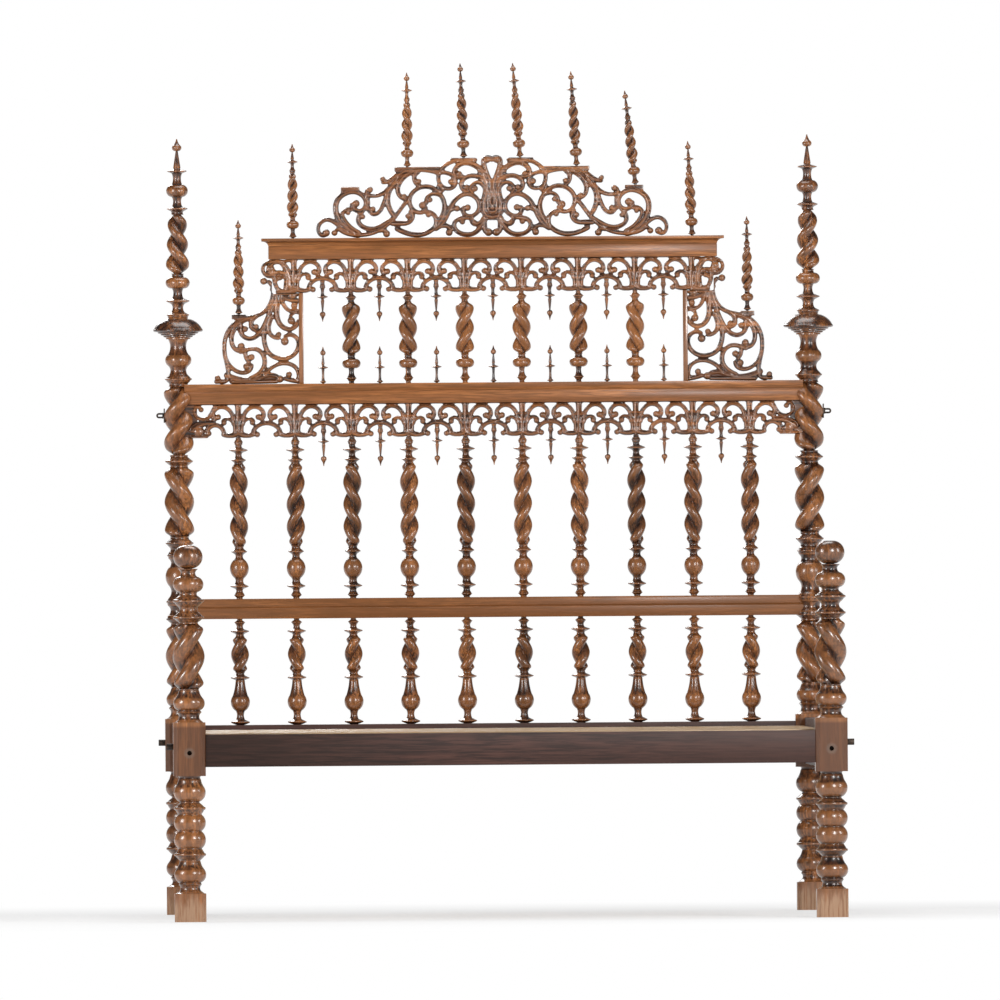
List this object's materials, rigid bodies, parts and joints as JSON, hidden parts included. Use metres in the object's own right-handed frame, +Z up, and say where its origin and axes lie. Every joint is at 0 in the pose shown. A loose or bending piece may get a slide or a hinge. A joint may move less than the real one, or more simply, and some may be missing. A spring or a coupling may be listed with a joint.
{
  "type": "spindle bed",
  "caption": "Double bed of polished dark wood with twist-turned posts, a tall headboard of spindle tiers under scroll-pierced boards, and a low foot rail.",
  "frame": {"origin": "on the floor, under the middle of the bed's overall box", "axes": "+Z up, +Y from the foot towards the head, +X to the right for someone standing at the foot and facing the head"},
  "size_m": [1.628, 2.0976, 2.0333],
  "materials": {
    "post_wood": "polished",
    "turned_wood": "polished",
    "dark_rail_wood": "satin",
    "rail_wood": "satin",
    "pierced_wood": "satin",
    "plain_wood": "matte",
    "iron": "worn"
  },
  "bodies": {
    "bedstead": {"head_post_left": "post_wood", "head_post_right": "post_wood", "foot_post_left": "post_wood", "foot_post_right": "post_wood", "post_cap_left": "turned_wood", "post_cap_right": "turned_wood", "pinnacle_left": "turned_wood", "pinnacle_right": "turned_wood", "head_bottom_rail": "dark_rail_wood", "foot_rail": "dark_rail_wood", "side_rail_left": "dark_rail_wood", "side_rail_right": "dark_rail_wood", "head_middle_rail": "rail_wood", "head_main_rail": "rail_wood", "frieze_board": "rail_wood", "cornice_moulding": "rail_wood", "wing_stile_left": "rail_wood", "wing_stile_right": "rail_wood", "main_fret": "pierced_wood", "upper_fret": "pierced_wood", "wing_left": "pierced_wood", "wing_right": "pierced_wood", "crest": "pierced_wood", "lower_spindle_01": "turned_wood", "lower_spindle_02": "turned_wood", "lower_spindle_03": "turned_wood", "lower_spindle_04": "turned_wood", "lower_spindle_05": "turned_wood", "lower_spindle_06": "turned_wood", "lower_spindle_07": "turned_wood", "lower_spindle_08": "turned_wood", "lower_spindle_09": "turned_wood", "lower_spindle_10": "turned_wood", "middle_spindle_01": "turned_wood", "middle_spindle_02": "turned_wood", "middle_spindle_03": "turned_wood", "middle_spindle_04": "turned_wood", "middle_spindle_05": "turned_wood", "middle_spindle_06": "turned_wood", "middle_spindle_07": "turned_wood", "middle_spindle_08": "turned_wood", "middle_spindle_09": "turned_wood", "middle_spindle_10": "turned_wood", "upper_spindles": "turned_wood", "crest_finials": "turned_wood", "cornice_finials": "turned_wood", "wing_finials": "turned_wood", "rail_finials": "turned_wood", "upper_pendants": "turned_wood", "main_pendants": "turned_wood", "slat_ledger_left": "plain_wood", "slat_ledger_right": "plain_wood", "cross_rail_bolts": "iron", "side_rail_bolts": "iron", "bolt_nuts": "iron", "bolt_plates": "iron"},
    "slats": {"slats": "plain_wood"},
    "ring_bolt_left": {"ring_bolt_left": "iron"},
    "ring_bolt_right": {"ring_bolt_right": "iron"}
  },
  "joints": [
    {"name": "slats_lift", "type": "slide", "parent": "bedstead", "child": "slats", "axis": [0, 0, 1], "range_m": [0, 0.3]},
    {"name": "ring_bolt_turn_left", "type": "hinge", "parent": "bedstead", "child": "ring_bolt_left", "pos_m": [-0.79, 0.98925, 1.195], "axis": [-1, 0, 0], "continuous": true},
    {"name": "ring_bolt_turn_right", "type": "hinge", "parent": "bedstead", "child": "ring_bolt_right", "pos_m": [0.79, 0.98925, 1.195], "axis": [1, 0, 0], "continuous": true}
  ]
}
